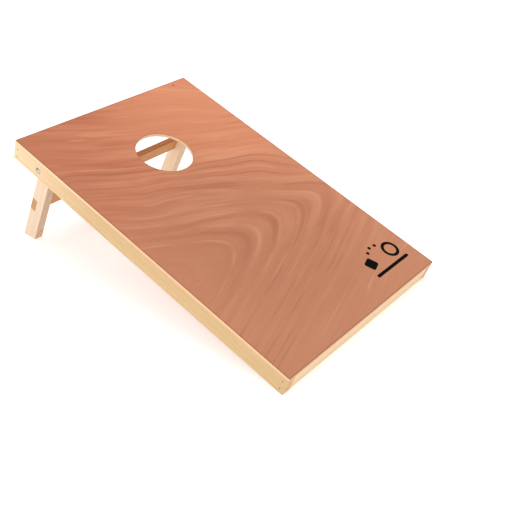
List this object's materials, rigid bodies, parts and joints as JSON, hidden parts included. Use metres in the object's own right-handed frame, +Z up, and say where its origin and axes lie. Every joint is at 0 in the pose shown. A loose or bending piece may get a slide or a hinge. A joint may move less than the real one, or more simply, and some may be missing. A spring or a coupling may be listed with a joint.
{
  "type": "cornhole board",
  "caption": "Tilted wooden lawn-game target: plywood deck with a round bag hole on a pine frame, propped at the back by a pair of hinged legs that fold in under the deck.",
  "frame": {"origin": "on the ground under the middle of the board's bounding box, with the legs out and the board standing on them and on its low front edge", "axes": "+Z up, +X to the right seen from the low front edge, +Y from the low front edge towards the high back edge; the left and right halves mirror each other about X = 0"},
  "size_m": [0.6066, 0.9122, 0.3009],
  "materials": {
    "deck_plywood": "reddish-brown hardwood veneer, smooth sanded, thin satin varnish",
    "wood_filler": "dull reddish filler over punched pins",
    "rail_pine": "planed pine, clear satin varnish",
    "leg_pine": "planed pale pine, clear satin varnish",
    "crossbar_wood": "planed brown softwood, clear satin varnish",
    "zinc_steel": "bright zinc-plated steel",
    "nail_steel": "dull bright-drawn steel",
    "screw_steel": "yellow zinc-plated steel"
  },
  "bodies": {
    "board": {"deck": "deck_plywood", "deck_pin_filler": "wood_filler", "rail_left": "rail_pine", "rail_right": "rail_pine", "rail_front": "rail_pine", "rail_back": "rail_pine", "pivot_bolt_left": "zinc_steel", "spacer_washer_left": "zinc_steel", "nut_washer_left": "zinc_steel", "lock_nut_left": "zinc_steel", "pivot_bolt_right": "zinc_steel", "spacer_washer_right": "zinc_steel", "nut_washer_right": "zinc_steel", "lock_nut_right": "zinc_steel", "corner_nails_front_left": "nail_steel", "corner_nails_front_right": "nail_steel", "corner_nails_back_left": "nail_steel", "corner_nails_back_right": "nail_steel", "deck_pins_left": "nail_steel", "deck_pins_right": "nail_steel", "deck_pins_front": "nail_steel", "deck_pins_back": "nail_steel"},
    "legs": {"leg_left": "leg_pine", "leg_right": "leg_pine", "leg_crossbar": "crossbar_wood", "crossbar_screws_left": "screw_steel", "crossbar_screws_right": "screw_steel"}
  },
  "joints": [
    {"name": "leg_fold", "type": "hinge", "parent": "board", "child": "legs", "pos_m": [0, 0.32939, 0.24482], "axis": [-1, 0, 0], "range_deg": [0, 97]}
  ]
}
